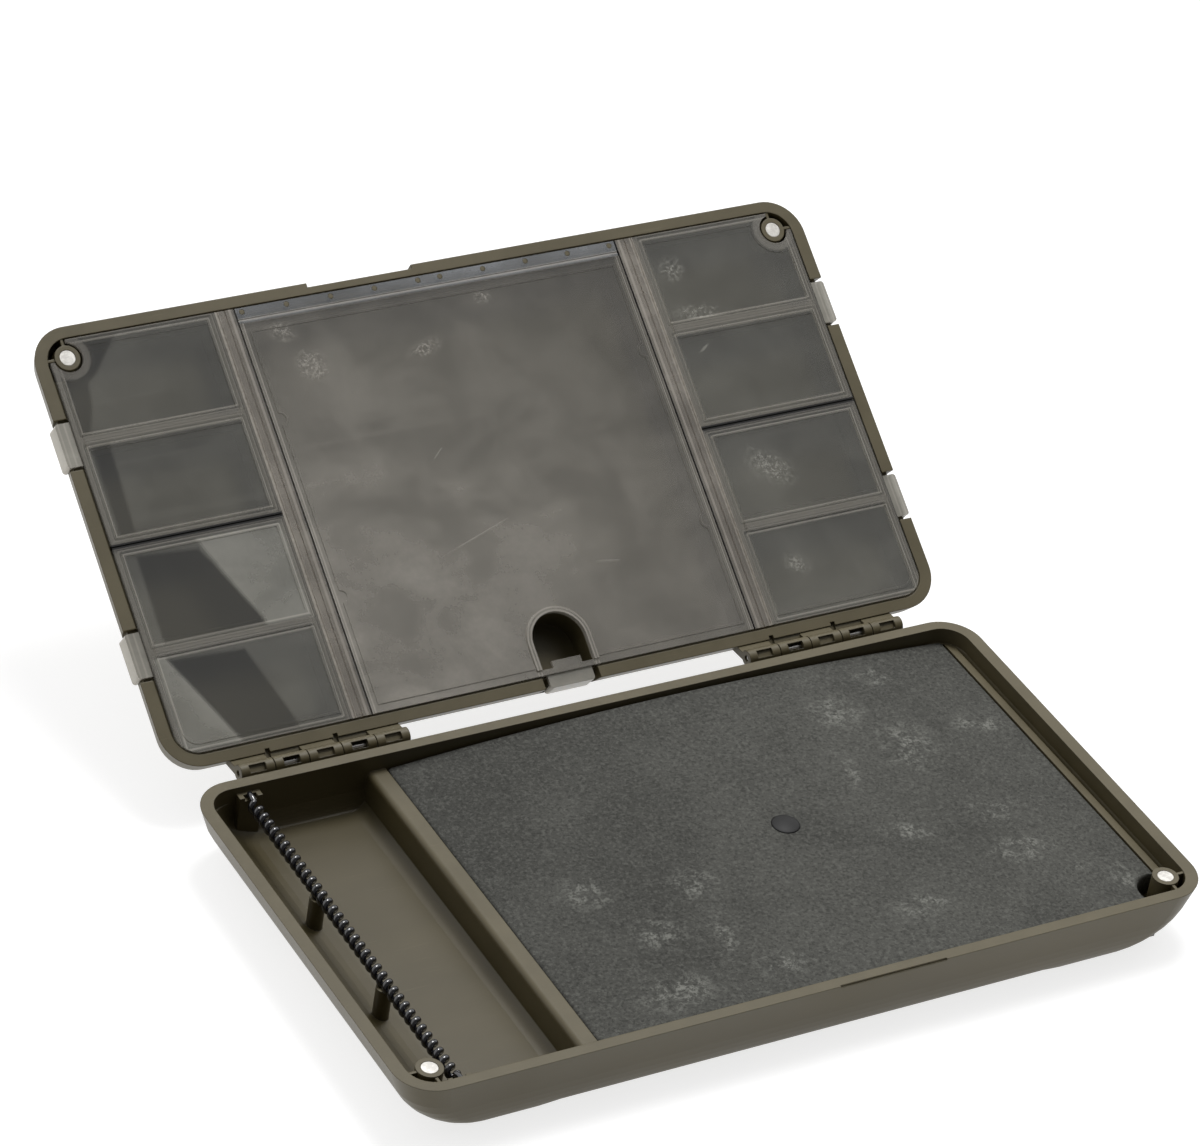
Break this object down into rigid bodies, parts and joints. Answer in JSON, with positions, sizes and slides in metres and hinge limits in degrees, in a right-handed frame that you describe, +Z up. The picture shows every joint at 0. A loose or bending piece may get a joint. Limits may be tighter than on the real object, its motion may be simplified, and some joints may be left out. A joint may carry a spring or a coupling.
{
  "type": "fishing rig box",
  "caption": "Hinged plastic tackle box with a foam pad and a spring rig holder in the base and clear-covered cells in the lid.",
  "frame": {"origin": "on the table, at the middle of the footprint of the open box: midway between the base's front and the open lid's far edge, and midway in X", "axes": "+X along the box's length to the viewer's right, +Y from the base over the hinge to the lid, +Z up"},
  "size_m": [0.35, 0.356, 0.1263],
  "materials": {
    "olive_plastic": "moulded, fine matt grain, semi-dull",
    "clear_plastic": "clear smoky polystyrene, glossy, lightly scratched",
    "foam": "closed-cell foam, soft and dull",
    "black_nylon": "moulded nylon, satin",
    "black_wire": "blackened spring wire, satin",
    "steel": "drawn steel wire",
    "nickel": "nickel-plated magnet, slightly dulled"
  },
  "bodies": {
    "base": {"base_tray": "olive_plastic", "left_hinge_pin": "steel", "right_hinge_pin": "steel", "foam_pad": "foam", "pad_stud": "black_nylon", "rig_spring": "black_wire", "base_left_magnet": "nickel", "base_right_magnet": "nickel"},
    "lid": {"lid_tray": "olive_plastic", "left_strip": "clear_plastic", "right_strip": "clear_plastic", "centre_strip": "clear_plastic", "lid_left_magnet": "nickel", "lid_right_magnet": "nickel"},
    "left_front_cover": {"left_front_cover": "clear_plastic"},
    "left_front_clip": {"left_front_clip": "clear_plastic"},
    "left_rear_cover": {"left_rear_cover": "clear_plastic"},
    "left_rear_clip": {"left_rear_clip": "clear_plastic"},
    "right_front_cover": {"right_front_cover": "clear_plastic"},
    "right_front_clip": {"right_front_clip": "clear_plastic"},
    "right_rear_cover": {"right_rear_cover": "clear_plastic"},
    "right_rear_clip": {"right_rear_clip": "clear_plastic"},
    "centre_cover": {"centre_cover": "clear_plastic"},
    "centre_clip": {"centre_clip": "clear_plastic"}
  },
  "joints": [
    {"name": "lid_hinge", "type": "hinge", "parent": "base", "child": "lid", "pos_m": [0, 0.01261, 0.02364], "axis": [-1, 0, 0], "range_deg": [-146.5, 0]},
    {"name": "left_front_cover_hinge", "type": "hinge", "parent": "lid", "child": "left_front_cover", "pos_m": [-0.0954, 0.13233, 0.09993], "axis": [0, 0.8339, 0.5519], "range_deg": [0, 150]},
    {"name": "left_front_clip_hinge", "type": "hinge", "parent": "left_front_cover", "child": "left_front_clip", "pos_m": [-0.16876, 0.13317, 0.09965], "axis": [0, 0.8339, 0.5519], "range_deg": [0, 90]},
    {"name": "left_rear_cover_hinge", "type": "hinge", "parent": "lid", "child": "left_rear_cover", "pos_m": [-0.0954, 0.05978, 0.05191], "axis": [0, 0.8339, 0.5519], "range_deg": [0, 150]},
    {"name": "left_rear_clip_hinge", "type": "hinge", "parent": "left_rear_cover", "child": "left_rear_clip", "pos_m": [-0.16876, 0.05971, 0.05103], "axis": [0, 0.8339, 0.5519], "range_deg": [0, 90]},
    {"name": "right_front_cover_hinge", "type": "hinge", "parent": "lid", "child": "right_front_cover", "pos_m": [0.0954, 0.13233, 0.09993], "axis": [0, -0.8339, -0.5519], "range_deg": [0, 150]},
    {"name": "right_front_clip_hinge", "type": "hinge", "parent": "right_front_cover", "child": "right_front_clip", "pos_m": [0.16876, 0.13317, 0.09965], "axis": [0, -0.8339, -0.5519], "range_deg": [0, 90]},
    {"name": "right_rear_cover_hinge", "type": "hinge", "parent": "lid", "child": "right_rear_cover", "pos_m": [0.0954, 0.05978, 0.05191], "axis": [0, -0.8339, -0.5519], "range_deg": [0, 150]},
    {"name": "right_rear_clip_hinge", "type": "hinge", "parent": "right_rear_cover", "child": "right_rear_clip", "pos_m": [0.16876, 0.05971, 0.05103], "axis": [0, -0.8339, -0.5519], "range_deg": [0, 90]},
    {"name": "centre_cover_hinge", "type": "hinge", "parent": "lid", "child": "centre_cover", "pos_m": [0, 0.16276, 0.12008], "axis": [-1, 0, 0], "range_deg": [0, 150]},
    {"name": "centre_clip_hinge", "type": "hinge", "parent": "centre_cover", "child": "centre_clip", "pos_m": [0.0012, 0.02417, 0.02751], "axis": [-1, 0, 0], "range_deg": [0, 90]}
  ]
}
